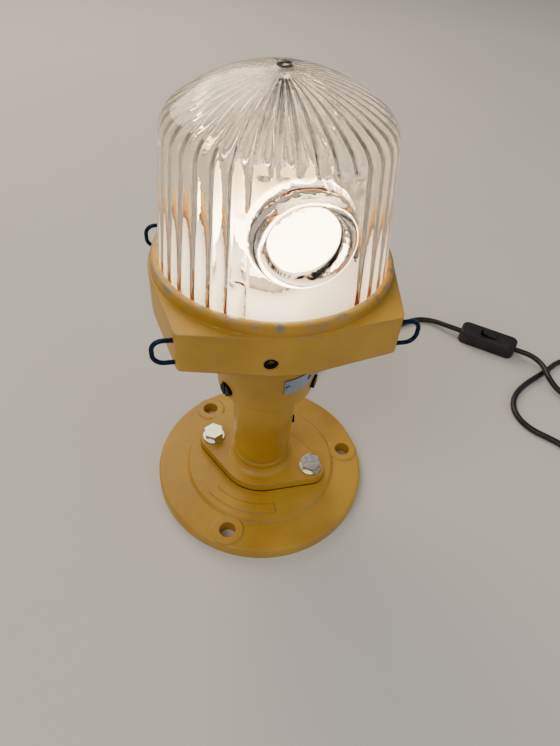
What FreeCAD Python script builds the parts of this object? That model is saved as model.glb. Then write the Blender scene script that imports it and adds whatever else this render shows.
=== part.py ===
import FreeCAD, Part
import math
import os

# Elevated airfield edge light, rewired as a mains lamp: a cast base plate, a stem with a break
# groove, a swivelling head, and a glass dome in a cast frame that four wire clips lock to the head.
# Units are millimetres. +Z is up and -Y is the front. The origin is the centre of the base's
# underside, on the surface that the light stands on.

V = FreeCAD.Vector
UP = V(0, 0, 1)
CUT = 1.0                       # how far a cutting tool runs past the face that it opens

# ---- base plate -------------------------------------------------------------------------------
BASE_R = 95.0
BASE_RIM_T = 11.0
BASE_EDGE_R = 2.5
PAD_R = 66.5
PAD_RISE = 3.0
PAD_SLOPE = 2.5
FIXING_PITCH_R = 80.5
FIXING_COUNT = 3
FIXING_START_DEG = 0.0
FIXING_HOLE_R = 7.0
FIXING_BOSS_R = 13.0
FIXING_BOSS_RISE = 1.2
RECESS_R = 61.0
RECESS_H = 8.0
LEAD_HOLE_R = 17.0
BAND_R = 56.0                   # raised blank band where a maker's lettering would be
BAND_W = 9.0
BAND_RISE = 0.8
BAND_START_DEG = 211.0
BAND_SWEEP_DEG = 62.0

# ---- stem and its two-bolt flange -------------------------------------------------------------
FLANGE_BOLT_PITCH_R = 48.0
FLANGE_BOLT_DEG = 150.0
FLANGE_T = 8.0
FLANGE_WAIST_R = 38.0
FLANGE_END_R = 13.0
GASKET_T = 1.5
STEM_FOOT_R = 24.2
STEM_TOP_R = 27.0
STEM_BORE_R = 18.0
STEM_BARREL_H = 98.5            # from the flange to the head's collar
STEM_FOOT_FILLET = 5.0
SPIGOT_H = 42.0
GROOVE_UP = 12.0
GROOVE_W = 5.0
GROOVE_DEPTH = 1.8
BOLT_R = 5.0
BOLT_ACROSS_FLATS = 16.0
BOLT_HEAD_H = 6.4
BOLT_BELOW = 2.0                # bolt's end below the top of the base recess
BOLT_CLEARANCE = 0.5
WASHER_R = 10.0
WASHER_T = 2.0
STEM_SCREW_R = 2.0
STEM_SCREW_HEAD_R = 3.6
STEM_SCREW_HEAD_T = 2.4
STEM_SCREW_UP = 47.0
STEM_SCREW_DEG = -8.0

# ---- head housing -----------------------------------------------------------------------------
COLLAR_R = 38.5
COLLAR_TOP_R = 42.0
COLLAR_H = 42.0
COLLAR_EDGE = 2.0
SPIGOT_CLEARANCE = 0.06
LEDGE_GAP = 0.05
LEDGE_T = 6.0
WELL_R = 27.0                   # floor of the bowl's funnel
BOWL_STEP_R = 61.0
BOWL_IN_R = 68.0
BOWL_STEP_DROP = 11.0
BOWL_UNDER_DROP = 16.0
BOWL_GAP = 1.0                  # between the bowl's rim and the glass frame's skirt
LUG_T = 9.0
LUG_OUT = 2.5                   # the lugs past the round part of the frame
LUG_W = 30.0
HEAD_LEAD_HOLE_R = 8.0
COLLAR_SCREW_R = 4.0
COLLAR_SCREW_HEAD_R = 5.6
COLLAR_SCREW_HEAD_T = 4.0
COLLAR_SCREW_TIP_GAP = 0.3
COLLAR_SCREW_UP = 11.0
COLLAR_SCREW_COUNT = 3
COLLAR_SCREW_START_DEG = -150.0
PLATE_DEG = -64.0
PLATE_SWEEP_DEG = 36.0
PLATE_H = 15.0
PLATE_T = 1.0
PLATE_UP = 20.5
RIVET_R = 1.2
RIVET_HEAD_R = 2.0
RIVET_HEAD_T = 0.8
RIVET_DEPTH = 3.0
RIVET_INSET_DEG = 4.0

# ---- glass frame ------------------------------------------------------------------------------
FRAME_BOTTOM_Z = 205.0
FRAME_H = 37.5
FRAME_R = 82.5                  # the round part of the frame's outline
FRAME_CORNER_OUT = 16.0         # past the round part, where the sides beside a corner would meet
FRAME_CORNER_FILLET = 4.5
FRAME_WALL = 2.6
RING_R = 80.6
RING_H = 8.0
RING_BEAD_R = 2.2
ROOF_DROP = 1.0
FRAME_BORE_R = 79.2
BORE_WALL = 2.6
POCKET_ROOF_GAP = 0.8           # above the clip's stop
OPEN_SKIRT_H = 15.0             # height of the skirt's hollow below the frame's round bore
LIP_GAP = 0.5
LOCK_SCREW_X = -14.5
LOCK_SCREW_R = 4.5
LOCK_SCREW_RECESS = 1.2
LOCK_SCREW_UP = 9.5
LOCK_SCREW_SOCKET_AF = 4.0
LOCK_SCREW_SOCKET_H = 1.6
LOCK_SCREW_TIP_GAP = 0.4

# ---- glass and what holds it ------------------------------------------------------------------
BOWL_GASKET_T = 2.0
BOWL_GASKET_IN_R = 69.5
RETAINER_T = 3.5
RETAINER_IN_R = 69.0
RETAINER_NOTCH_W = 6.0
RETAINER_NOTCH_D = 3.0
FOOT_GASKET_T = 1.5
FOOT_T = 6.0
FOOT_GAP = 0.4
GLASS_GASKET_T = 1.5
GLASS_R = 75.4                  # outside of the glass where it leaves the frame
GLASS_WALL = 6.0
GLASS_CROWN_T = 9.0             # the glass at its apex
GLASS_SHOULDER_R = 68.6
GLASS_SHOULDER_Z = 320.0
GLASS_TURN_R = 66.0             # half-way round the shoulder
GLASS_TURN_Z = 327.7
GLASS_TURN_DEG = 30.0           # how far the surface leans back there
GLASS_CROWN_R = 60.2            # where the shoulder meets the crown
GLASS_CROWN_Z = 333.7
GLASS_CROWN_DEG = 55.0
GLASS_TOP_Z = 354.0
GLASS_NUB_R = 4.0
GLASS_NUB_H = 2.0

# ---- wire clips -------------------------------------------------------------------------------
WIRE_R = 1.5
WIRE_CLEARANCE = 0.1
CLIP_Y = 65.0
CLIP_TIP_OUT = 2.5              # past the round part of the frame
CLIP_LOW_UP = 3.5               # lower leg above the frame's bottom edge
CLIP_SPAN = 17.5
CLIP_BEND_R = 7.0
CLIP_LOW_END_X = 52.0
CLIP_HIGH_END_X = 53.5
CLIP_STOP_R = 2.4
CLIP_STOP_T = 2.0
LUG_GAP = 0.2                   # between the lower leg and the lug that it locks under

# ---- lamp inside ------------------------------------------------------------------------------
BRACKET_T = 2.5
BRACKET_W = 34.0
BRACKET_GAP = 0.6
BRACKET_SCREW_R = 2.0
BRACKET_SCREW_HEAD_R = 3.6
BRACKET_SCREW_HEAD_T = 2.2
BRACKET_SCREW_DEPTH = 7.0
PILLAR_R = 2.6
PILLAR_H = 14.0
PILLAR_COUNT = 3
PILLAR_START_DEG = 30.0
REFLECTOR_T = 1.2
REFLECTOR_R = 67.0
REFLECTOR_HOLE_GAP = 1.0
HOLDER_R = 20.0
HOLDER_FLANGE_R = 26.0
HOLDER_FLANGE_T = 3.0
HOLDER_H = 22.0
HOLDER_CAVITY_H = 18.0
HOLDER_LEAD_GAP = 0.4
CAP_R = 13.2
CAP_GAP = 0.8
CAP_H = 19.0
BULB_R = 30.0
BULB_CENTRE_UP = 36.0           # above the lampholder's rim
BULB_NECK_R = 14.0

# ---- mains lead -------------------------------------------------------------------------------
CORD_R = 3.1
EXIT_DEG = 58.0
EXIT_Z = 4.6
CORD_START_R = 64.0
LEAD_BEND_R = 19.0
BUSH_R = 4.6
BUSH_IN_L = 14.0
BUSH_COLLAR_R = 5.8
BUSH_COLLAR_T = 2.5
BUSH_TAIL_L = 22.0
BUSH_TAIL_R = 4.9
BUSH_TIP_R = 3.8
BUSH_FLOOR_GAP = 0.1
SWITCH_AT = (304.5, 139.0)
SWITCH_DEG = -38.9
SWITCH_L = 67.0
SWITCH_W = 25.0
SWITCH_H = 17.0
SWITCH_SPLIT = 8.5
SWITCH_CORNER_R = 8.0
SWITCH_EDGE_R = 2.0
ROCKER_L = 17.0
ROCKER_W = 11.0
ROCKER_SIDE_GAP = 0.4
ROCKER_END_GAP = 1.2
ROCKER_PIN_R = 1.2
ROCKER_PIN_CLEARANCE = 0.08
ROCKER_PIN_OUT = 2.5
ROCKER_PIN_DOWN = 2.0
ROCKER_BODY_DOWN = 2.4
ROCKER_END_UP = 4.6
ROCKER_MID_UP = 3.4
ROCKER_TILT_DEG = 8.0
ROCKER_WELL_GAP = 1.4
COIL_AT = (362.0, -47.0)
COIL_MEAN_R = 34.0
COIL_HALF_W = 9.3
COIL_H = 11.6
COIL_EDGE_R = 2.8
PLUG_AT = (344.0, -107.5)
PLUG_DEG = -56.31
PLUG_L = 34.0
PLUG_W = 34.0
PLUG_NECK_W = 15.0
PLUG_H = 14.0
PLUG_EDGE_R = 2.5
PIN_R = 2.0
PIN_L = 19.0
PIN_SPACING = 18.6

# The lead's route outside the base, and from the switch to the coil, and from the coil to the plug.
CORD_TO_SWITCH = [
    (33.91, 54.27, 4.6),
    (65.7, 105.15, 4.6),
    (110.0, 149.0, 3.2),
    (162.0, 171.0, 3.2),
    (205.0, 184.5, 3.2),
    (234.0, 195.0, 3.2),
    (254.5, 187.0, 4.5),
    (264.42, 171.35, 8.5),
    (278.43, 160.04, 8.5),
]
CORD_FROM_SWITCH = [
    (330.57, 117.96, 8.5),
    (346.0, 105.5, 8.9),
    (350.2, 85.8, 10.2),
    (344.5, 62.5, 10.2),
    (350.0, 44.0, 6.0),
    (370.0, 28.0, 3.2),
    (398.0, 26.0, 3.2),
    (420.0, 44.0, 3.2),
    (424.0, 72.0, 3.2),
    (408.0, 94.0, 3.2),
    (382.0, 98.5, 3.2),
    (353.0, 82.0, 3.2),
    (318.0, 66.5, 3.2),
    (295.0, 50.0, 3.2),
    (283.5, 28.0, 3.2),
    (288.5, 4.0, 3.2),
    (308.0, -15.0, 3.2),
    (320.5, -32.5, 3.2),
    (321.8, -47.0, 3.2),
]
CORD_TO_PLUG = [
    (324.9, -52.0, 8.8),
    (326.0, -72.0, 9.4),
    (333.0, -91.0, 7.0),
    (344.0, -107.5, 7.0),
]

# ---- levels and radii that follow from the sizes ----------------------------------------------
PAD_Z = BASE_RIM_T + PAD_RISE
FLANGE_Z = PAD_Z + GASKET_T
FLANGE_TOP_Z = FLANGE_Z + FLANGE_T
COLLAR_Z = FLANGE_TOP_Z + STEM_BARREL_H
SPIGOT_TOP_Z = COLLAR_Z + SPIGOT_H
LEDGE_Z = SPIGOT_TOP_Z + LEDGE_GAP
WELL_Z = LEDGE_Z + LEDGE_T
CLIP_LOW_Z = FRAME_BOTTOM_Z + CLIP_LOW_UP
CLIP_HIGH_Z = CLIP_LOW_Z + CLIP_SPAN
LUG_Z = CLIP_LOW_Z + WIRE_R + LUG_GAP
BOWL_TOP_Z = LUG_Z + LUG_T
BOWL_R = FRAME_R - FRAME_WALL - BOWL_GAP
FRAME_CORNER_R = FRAME_R + FRAME_CORNER_OUT
LUG_R = FRAME_R + LUG_OUT
CLIP_TIP_X = FRAME_R + CLIP_TIP_OUT
STEP_Z = BOWL_TOP_Z - BOWL_STEP_DROP
RETAINER_Z = BOWL_TOP_Z + BOWL_GASKET_T
FOOT_GASKET_Z = RETAINER_Z + RETAINER_T
FOOT_Z = FOOT_GASKET_Z + FOOT_GASKET_T
FOOT_TOP_Z = FOOT_Z + FOOT_T
LIP_Z = FOOT_TOP_Z + GLASS_GASKET_T
FRAME_TOP_Z = FRAME_BOTTOM_Z + FRAME_H
ROOF_Z = FRAME_TOP_Z - RING_H
POCKET_TOP_Z = CLIP_HIGH_Z + CLIP_STOP_R + POCKET_ROOF_GAP
BRACKET_TOP_Z = STEP_Z + BRACKET_T
HOLDER_TOP_Z = BRACKET_TOP_Z + HOLDER_H
STEP_MID_R = (BOWL_STEP_R + BOWL_IN_R) / 2
REFLECTOR_Z = STEP_Z + PILLAR_H
STEM_SLOPE = (STEM_TOP_R - STEM_FOOT_R) / STEM_BARREL_H
COLLAR_SLOPE = (COLLAR_TOP_R - COLLAR_R) / COLLAR_H


# ---- shape helpers ----------------------------------------------------------------------------
def save(name, shape):
    if not shape.isValid():
        raise ValueError(name + " is not a valid shape")
    shape.exportStep("parts/" + name + ".step")


def polar(radius, degrees, z=0.0):
    angle = math.radians(degrees)
    return V(radius * math.cos(angle), radius * math.sin(angle), z)


def rod(radius, height, base, axis=UP):
    return Part.makeCylinder(radius, height, base, axis)


def ring(outer, inner, height, z):
    return rod(outer, height, V(0, 0, z)).cut(rod(inner, height + 2 * CUT, V(0, 0, z - CUT)))


def spun(outline, degrees=360.0, start=0.0):
    """A solid of revolution about Z from (radius, height) corners."""
    corners = [V(r, 0, z) for r, z in outline]
    face = Part.Face(Part.makePolygon(corners + corners[:1]))
    face.rotate(V(0, 0, 0), UP, start)
    return face.revolve(V(0, 0, 0), UP, degrees)


def around(shape, count, start):
    """Copies of a shape that is drawn at azimuth 0, turned about Z."""
    copies = []
    for index in range(count):
        copy = shape.copy()
        copy.rotate(V(0, 0, 0), UP, start + index * 360.0 / count)
        copies.append(copy)
    return copies


def box(size_x, size_y, size_z, x=0.0, y=0.0, z=0.0):
    """A box centred on x and y that stands on z."""
    return Part.makeBox(size_x, size_y, size_z, V(x - size_x / 2, y - size_y / 2, z))


def filleted(shape, radius, wanted):
    """Fillets the edges that wanted() picks."""
    return shape.makeFillet(radius, [edge for edge in shape.Edges if wanted(edge)])


def at_height(z):
    return lambda edge: all(abs(vertex.Z - z) < 1e-6 for vertex in edge.Vertexes)


def is_upright(edge):
    return abs(edge.Vertexes[0].Z - edge.Vertexes[-1].Z) > 1.0


def is_corner(edge):
    """True for the upright edges at the glass frame's four corners."""
    return is_upright(edge) and math.hypot(edge.Vertexes[0].X, edge.Vertexes[0].Y) > FRAME_R + CUT


def hexagon(across_flats, height, base):
    corner_r = across_flats / math.sqrt(3)
    corners = [base + polar(corner_r, 60 * index + 30) for index in range(6)]
    return Part.Face(Part.makePolygon(corners + corners[:1])).extrude(V(0, 0, height))


def rhombic_plate(height, z):
    """A plate whose outline is a wide middle circle joined by tangents to two small end circles."""
    lean = math.acos((FLANGE_WAIST_R - FLANGE_END_R) / FLANGE_BOLT_PITCH_R)
    mid_x = FLANGE_WAIST_R * math.cos(lean)
    mid_y = FLANGE_WAIST_R * math.sin(lean)
    end_x = FLANGE_BOLT_PITCH_R + FLANGE_END_R * math.cos(lean)
    end_y = FLANGE_END_R * math.sin(lean)
    tip_x = FLANGE_BOLT_PITCH_R + FLANGE_END_R
    edges = [
        Part.Arc(V(mid_x, mid_y, z), V(0, FLANGE_WAIST_R, z), V(-mid_x, mid_y, z)).toShape(),
        Part.makeLine(V(-mid_x, mid_y, z), V(-end_x, end_y, z)),
        Part.Arc(V(-end_x, end_y, z), V(-tip_x, 0, z), V(-end_x, -end_y, z)).toShape(),
        Part.makeLine(V(-end_x, -end_y, z), V(-mid_x, -mid_y, z)),
        Part.Arc(V(-mid_x, -mid_y, z), V(0, -FLANGE_WAIST_R, z), V(mid_x, -mid_y, z)).toShape(),
        Part.makeLine(V(mid_x, -mid_y, z), V(end_x, -end_y, z)),
        Part.Arc(V(end_x, -end_y, z), V(tip_x, 0, z), V(end_x, end_y, z)).toShape(),
        Part.makeLine(V(end_x, end_y, z), V(mid_x, mid_y, z)),
    ]
    plate = Part.Face(Part.Wire(edges)).extrude(V(0, 0, height))
    plate.rotate(V(0, 0, 0), UP, FLANGE_BOLT_DEG)
    return plate


def flange_bolt_points(z):
    return [polar(FLANGE_BOLT_PITCH_R, FLANGE_BOLT_DEG + turn, z) for turn in (0, 180)]


def four_cornered(round_r, corner_r, height, z):
    """A round prism with four corners, whose sides leave the round along its tangents."""
    spread = math.degrees(math.acos(round_r / corner_r))
    edges = []
    for middle in (45, 135, 225, 315):
        start = polar(round_r, middle - spread, z)
        corner = polar(corner_r, middle, z)
        end = polar(round_r, middle + spread, z)
        crest = polar(round_r, middle + 45, z)
        following = polar(round_r, middle + 90 - spread, z)
        edges.append(Part.makeLine(start, corner))
        edges.append(Part.makeLine(corner, end))
        edges.append(Part.Arc(end, crest, following).toShape())
    return Part.Face(Part.Wire(edges)).extrude(V(0, 0, height))


def tube(points, radius):
    """A round tube along straight runs that are joined by tangent arcs. Returns it and its radii."""
    places = [V(*point) for point in points]
    edges = []
    radii = []
    start = places[0]
    for before, here, after in zip(places, places[1:], places[2:]):
        arriving = (here - before).normalize()
        leaving = (after - here).normalize()
        reach = 0.45 * min((here - before).Length, (after - here).Length)
        half_turn = arriving.getAngle(leaving) / 2
        bend_r = reach / math.tan(half_turn)
        inward = (leaving - arriving).normalize()
        arc_start = here - arriving * reach
        arc_mid = here + inward * (bend_r / math.cos(half_turn) - bend_r)
        arc_end = here + leaving * reach
        edges.append(Part.LineSegment(start, arc_start).toShape())
        edges.append(Part.Arc(arc_start, arc_mid, arc_end).toShape())
        radii.append(bend_r)
        start = arc_end
    edges.append(Part.LineSegment(start, places[-1]).toShape())
    return swept(edges, radius), radii


def swept(edges, radius):
    path = Part.Wire(edges)
    start = edges[0].Vertexes[0].Point
    heading = edges[0].Vertexes[1].Point - start
    section = Part.Wire(Part.makeCircle(radius, start, heading))
    return path.makePipeShell([section], True, False)


def report_cord(name, solid, length, radii):
    ratio = solid.Volume / (math.pi * CORD_R ** 2 * length)
    print(name, "bend radii", [round(value, 1) for value in radii], "volume ratio", round(ratio, 4))


def route_length(points, radii):
    """The length of the rounded route: its runs, less what each arc saves at its corner."""
    places = [V(*point) for point in points]
    length = sum((b - a).Length for a, b in zip(places, places[1:]))
    for before, here, after, bend_r in zip(places, places[1:], places[2:], radii):
        turn = (here - before).getAngle(after - here)
        length -= bend_r * (2 * math.tan(turn / 2) - turn)
    return length


# ---- base -------------------------------------------------------------------------------------
def make_base_plate():
    plate = rod(BASE_R, BASE_RIM_T, V(0, 0, 0))
    plate = filleted(plate, BASE_EDGE_R, at_height(BASE_RIM_T))
    pad = Part.makeCone(PAD_R + PAD_SLOPE, PAD_R, PAD_RISE, V(0, 0, BASE_RIM_T))
    boss = Part.makeCone(FIXING_BOSS_R + FIXING_BOSS_RISE, FIXING_BOSS_R, FIXING_BOSS_RISE,
                         V(FIXING_PITCH_R, 0, BASE_RIM_T))
    band = spun([(BAND_R - BAND_W / 2, PAD_Z - CUT), (BAND_R + BAND_W / 2, PAD_Z - CUT),
                 (BAND_R + BAND_W / 2, PAD_Z + BAND_RISE), (BAND_R - BAND_W / 2, PAD_Z + BAND_RISE)],
                BAND_SWEEP_DEG, BAND_START_DEG)
    plate = plate.fuse([pad, band] + around(boss, FIXING_COUNT, FIXING_START_DEG)).removeSplitter()
    hole = rod(FIXING_HOLE_R, BASE_RIM_T + FIXING_BOSS_RISE + 2 * CUT, V(FIXING_PITCH_R, 0, -CUT))
    cuts = around(hole, FIXING_COUNT, FIXING_START_DEG)
    cuts.append(rod(RECESS_R, RECESS_H + CUT, V(0, 0, -CUT)))
    cuts.append(rod(LEAD_HOLE_R, PAD_Z + CUT, V(0, 0, 0)))
    cuts += [rod(BOLT_R, PAD_Z + CUT, point) for point in flange_bolt_points(0)]
    cuts.append(rod(BUSH_R, BASE_R, V(0, 0, EXIT_Z) + polar(RECESS_R - CUT, EXIT_DEG),
                    polar(1, EXIT_DEG)))
    notch = box(BASE_R, 2 * BUSH_R, EXIT_Z + CUT, RECESS_R + BASE_R / 2 - CUT, 0, -CUT)
    notch.rotate(V(0, 0, 0), UP, EXIT_DEG)
    cuts.append(notch)
    return plate.cut(cuts)


def make_flange_gasket():
    plate = rhombic_plate(GASKET_T, PAD_Z)
    holes = [rod(BOLT_R + BOLT_CLEARANCE, GASKET_T + 2 * CUT, point)
             for point in flange_bolt_points(PAD_Z - CUT)]
    return plate.cut(holes + [rod(LEAD_HOLE_R, GASKET_T + 2 * CUT, V(0, 0, PAD_Z - CUT))])


# ---- stem -------------------------------------------------------------------------------------
def stem_radius(height):
    """The barrel's radius at a height above the flange."""
    return STEM_FOOT_R + STEM_SLOPE * height


def make_stem():
    flange = rhombic_plate(FLANGE_T, FLANGE_Z)
    holes = [rod(BOLT_R + BOLT_CLEARANCE, FLANGE_T + 2 * CUT, point)
             for point in flange_bolt_points(FLANGE_Z - CUT)]
    groove_low = GROOVE_UP - GROOVE_W / 2
    groove_high = GROOVE_UP + GROOVE_W / 2
    barrel = spun([
        (0, FLANGE_Z),
        (STEM_FOOT_R + STEM_FOOT_FILLET, FLANGE_Z),
        (STEM_FOOT_R + STEM_FOOT_FILLET, FLANGE_TOP_Z),
        (STEM_FOOT_R + STEM_FOOT_FILLET * 0.35, FLANGE_TOP_Z + STEM_FOOT_FILLET * 0.35),
        (stem_radius(STEM_FOOT_FILLET), FLANGE_TOP_Z + STEM_FOOT_FILLET),
        (stem_radius(groove_low), FLANGE_TOP_Z + groove_low),
        (stem_radius(GROOVE_UP) - GROOVE_DEPTH, FLANGE_TOP_Z + GROOVE_UP),
        (stem_radius(groove_high), FLANGE_TOP_Z + groove_high),
        (STEM_TOP_R, COLLAR_Z),
        (STEM_TOP_R, SPIGOT_TOP_Z),
        (0, SPIGOT_TOP_Z),
    ])
    bore = rod(STEM_BORE_R, SPIGOT_TOP_Z - FLANGE_Z + 2 * CUT, V(0, 0, FLANGE_Z - CUT))
    screw_hole = rod(STEM_SCREW_R, STEM_TOP_R, V(0, 0, FLANGE_TOP_Z + STEM_SCREW_UP),
                     polar(1, STEM_SCREW_DEG))
    seat_z = FLANGE_TOP_Z + STEM_SCREW_UP
    seat = rod(STEM_SCREW_HEAD_R, STEM_TOP_R, polar(stem_screw_seat_r(), STEM_SCREW_DEG, seat_z),
               polar(1, STEM_SCREW_DEG))
    return flange.fuse(barrel).removeSplitter().cut(holes + [bore, screw_hole, seat])


def stem_screw_seat_r():
    return stem_radius(STEM_SCREW_UP) - 0.6


def make_stem_screw():
    outward = polar(1, STEM_SCREW_DEG)
    z = FLANGE_TOP_Z + STEM_SCREW_UP
    shank_l = stem_screw_seat_r() - STEM_BORE_R
    shank = rod(STEM_SCREW_R, shank_l, polar(STEM_BORE_R, STEM_SCREW_DEG, z), outward)
    head = rod(STEM_SCREW_HEAD_R, STEM_SCREW_HEAD_T, polar(stem_screw_seat_r(), STEM_SCREW_DEG, z),
               outward)
    slot = box(STEM_SCREW_HEAD_T, 0.9, 2 * STEM_SCREW_HEAD_R + CUT,
               stem_screw_seat_r() + STEM_SCREW_HEAD_T * 1.1, 0, z - STEM_SCREW_HEAD_R - CUT / 2)
    slot.rotate(V(0, 0, 0), UP, STEM_SCREW_DEG)
    return shank.fuse(head).removeSplitter().cut(slot)


def make_flange_washers():
    washers = []
    for point in flange_bolt_points(FLANGE_TOP_Z):
        washers.append(rod(WASHER_R, WASHER_T, point).cut(rod(BOLT_R, WASHER_T + CUT, point)))
    return Part.makeCompound(washers)


def make_flange_bolts():
    head_z = FLANGE_TOP_Z + WASHER_T
    end_z = RECESS_H - BOLT_BELOW
    bolts = []
    for point in flange_bolt_points(head_z):
        head = hexagon(BOLT_ACROSS_FLATS, BOLT_HEAD_H, point)
        crown = Part.makeCone(BOLT_ACROSS_FLATS * 0.72, BOLT_ACROSS_FLATS * 0.36,
                              BOLT_ACROSS_FLATS * 0.36, point + UP * (BOLT_HEAD_H - 1.6))
        skirt = rod(BOLT_ACROSS_FLATS * 0.72, BOLT_HEAD_H - 1.6, point)
        head = head.common(skirt.fuse(crown))
        shank = rod(BOLT_R, head_z - end_z, point - UP * (head_z - end_z))
        bolts.append(head.fuse(shank).removeSplitter())
    return Part.makeCompound(bolts)


# ---- head housing -----------------------------------------------------------------------------
def collar_radius(z):
    return COLLAR_R + COLLAR_SLOPE * (z - COLLAR_Z)


def make_head_housing():
    shell = spun([
        (0, COLLAR_Z),
        (COLLAR_R - COLLAR_EDGE, COLLAR_Z),
        (collar_radius(COLLAR_Z + COLLAR_EDGE), COLLAR_Z + COLLAR_EDGE),
        (COLLAR_TOP_R, COLLAR_Z + COLLAR_H),
        (BOWL_R, BOWL_TOP_Z - BOWL_UNDER_DROP),
        (BOWL_R, BOWL_TOP_Z),
        (0, BOWL_TOP_Z),
    ])
    lug_pad = box(2 * LUG_R, LUG_W, LUG_T, 0, 0, LUG_Z)
    lugs = []
    for degrees in (45, 135):
        arm = lug_pad.copy()
        arm.rotate(V(0, 0, 0), UP, degrees)
        lugs.append(arm.common(rod(LUG_R, LUG_T, V(0, 0, LUG_Z))))
    solid = shell.fuse(lugs).removeSplitter()
    spigot_bore = rod(STEM_TOP_R + SPIGOT_CLEARANCE, LEDGE_Z - COLLAR_Z + CUT, V(0, 0, COLLAR_Z - CUT))
    lead_hole = rod(HEAD_LEAD_HOLE_R, WELL_Z - LEDGE_Z + 2 * CUT, V(0, 0, LEDGE_Z - CUT))
    bowl = spun([(0, WELL_Z), (WELL_R, WELL_Z), (BOWL_STEP_R, STEP_Z), (BOWL_IN_R, STEP_Z),
                 (BOWL_IN_R, BOWL_TOP_Z + CUT), (0, BOWL_TOP_Z + CUT)])
    screw_z = COLLAR_Z + COLLAR_SCREW_UP
    screw_hole = rod(COLLAR_SCREW_R, COLLAR_TOP_R, V(0, 0, screw_z), V(1, 0, 0))
    screw_seat = rod(COLLAR_SCREW_HEAD_R + 0.8, COLLAR_TOP_R, V(collar_seat_r(), 0, screw_z), V(1, 0, 0))
    cuts = [spigot_bore, lead_hole, bowl]
    cuts += around(screw_hole, COLLAR_SCREW_COUNT, COLLAR_SCREW_START_DEG)
    cuts += around(screw_seat, COLLAR_SCREW_COUNT, COLLAR_SCREW_START_DEG)
    cuts += rivet_holes()
    cuts += [rod(BRACKET_SCREW_R, BRACKET_SCREW_DEPTH + CUT, V(side * STEP_MID_R, 0,
             STEP_Z - BRACKET_SCREW_DEPTH)) for side in (-1, 1)]
    return solid.cut(cuts)


def collar_seat_r():
    return COLLAR_R - 1.0


def make_collar_screws():
    z = COLLAR_Z + COLLAR_SCREW_UP
    tip_r = STEM_TOP_R + COLLAR_SCREW_TIP_GAP
    shank = rod(COLLAR_SCREW_R, collar_seat_r() - tip_r, V(tip_r, 0, z), V(1, 0, 0))
    head = rod(COLLAR_SCREW_HEAD_R, COLLAR_SCREW_HEAD_T, V(collar_seat_r(), 0, z), V(1, 0, 0))
    slot = box(COLLAR_SCREW_HEAD_T, 1.4, 2 * COLLAR_SCREW_HEAD_R + CUT,
               collar_seat_r() + COLLAR_SCREW_HEAD_T * 1.1, 0, z - COLLAR_SCREW_HEAD_R - CUT / 2)
    screw = shank.fuse(head).removeSplitter().cut(slot)
    return Part.makeCompound(around(screw, COLLAR_SCREW_COUNT, COLLAR_SCREW_START_DEG))


def plate_outline(thickness):
    low_z = COLLAR_Z + PLATE_UP
    high_z = low_z + PLATE_H
    return [(collar_radius(low_z), low_z), (collar_radius(low_z) + thickness, low_z),
            (collar_radius(high_z) + thickness, high_z), (collar_radius(high_z), high_z)]


def make_nameplate():
    plate = spun(plate_outline(PLATE_T), PLATE_SWEEP_DEG, PLATE_DEG - PLATE_SWEEP_DEG / 2)
    return plate.cut(rivet_holes())


def rivet_axes():
    """Each rivet's place on the collar's surface, and the direction that it points."""
    z = COLLAR_Z + PLATE_UP + PLATE_H / 2
    half = PLATE_SWEEP_DEG / 2 - RIVET_INSET_DEG
    return [(polar(collar_radius(z), PLATE_DEG + turn, z), polar(1, PLATE_DEG + turn))
            for turn in (-half, half)]


def rivet_holes():
    return [rod(RIVET_R, RIVET_DEPTH + PLATE_T + CUT, place - outward * RIVET_DEPTH, outward)
            for place, outward in rivet_axes()]


def make_nameplate_rivets():
    rivets = []
    for place, outward in rivet_axes():
        shank = rod(RIVET_R, RIVET_DEPTH + PLATE_T + 0.2, place - outward * RIVET_DEPTH, outward)
        head = rod(RIVET_HEAD_R, RIVET_HEAD_T, place + outward * (PLATE_T + 0.2), outward)
        rivets.append(shank.fuse(head).removeSplitter())
    return Part.makeCompound(rivets)


def make_bowl_gasket():
    return ring(BOWL_R - BOWL_GAP, BOWL_GASKET_IN_R, BOWL_GASKET_T, BOWL_TOP_Z)


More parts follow.
